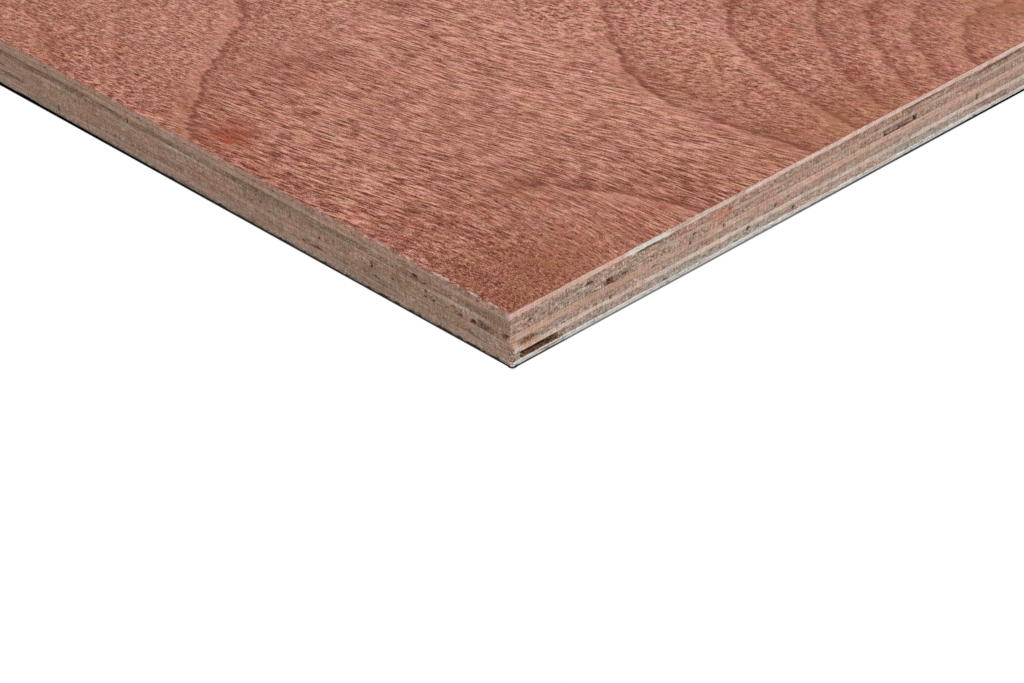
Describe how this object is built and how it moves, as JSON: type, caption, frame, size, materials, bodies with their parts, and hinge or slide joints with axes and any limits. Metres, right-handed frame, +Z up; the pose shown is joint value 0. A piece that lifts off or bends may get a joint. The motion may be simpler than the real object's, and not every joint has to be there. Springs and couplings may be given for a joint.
{
  "type": "plywood sheet",
  "caption": "Full sheet of hardwood plywood lying flat: thin red face and back veneers over a core of crossed plies, with open strip joints at the sawn edges.",
  "frame": {"origin": "centre of the underside", "axes": "+X along the sheet's length and its face grain, +Y across its width, +Z up out of the good face"},
  "size_m": [2.44, 1.22, 0.018],
  "materials": {
    "face_veneer": "smooth unfinished red-brown rotary-cut hardwood with short dark pores",
    "cross_core": "sawn edge of pale hardwood veneer whose grain runs across the sheet",
    "long_core": "sawn edge of pale brown hardwood veneer whose grain runs along the sheet",
    "back_veneer": "unfinished red-brown rotary-cut hardwood of a plainer grade"
  },
  "bodies": {
    "root": {"face_veneer": "face_veneer", "cross_ply_1": "cross_core", "long_ply_1": "long_core", "cross_ply_2": "cross_core", "long_ply_2": "long_core", "cross_ply_3": "cross_core", "long_ply_3": "long_core", "cross_ply_4": "cross_core", "long_ply_4": "long_core", "cross_ply_5": "cross_core", "back_veneer": "back_veneer"}
  },
  "joints": []
}
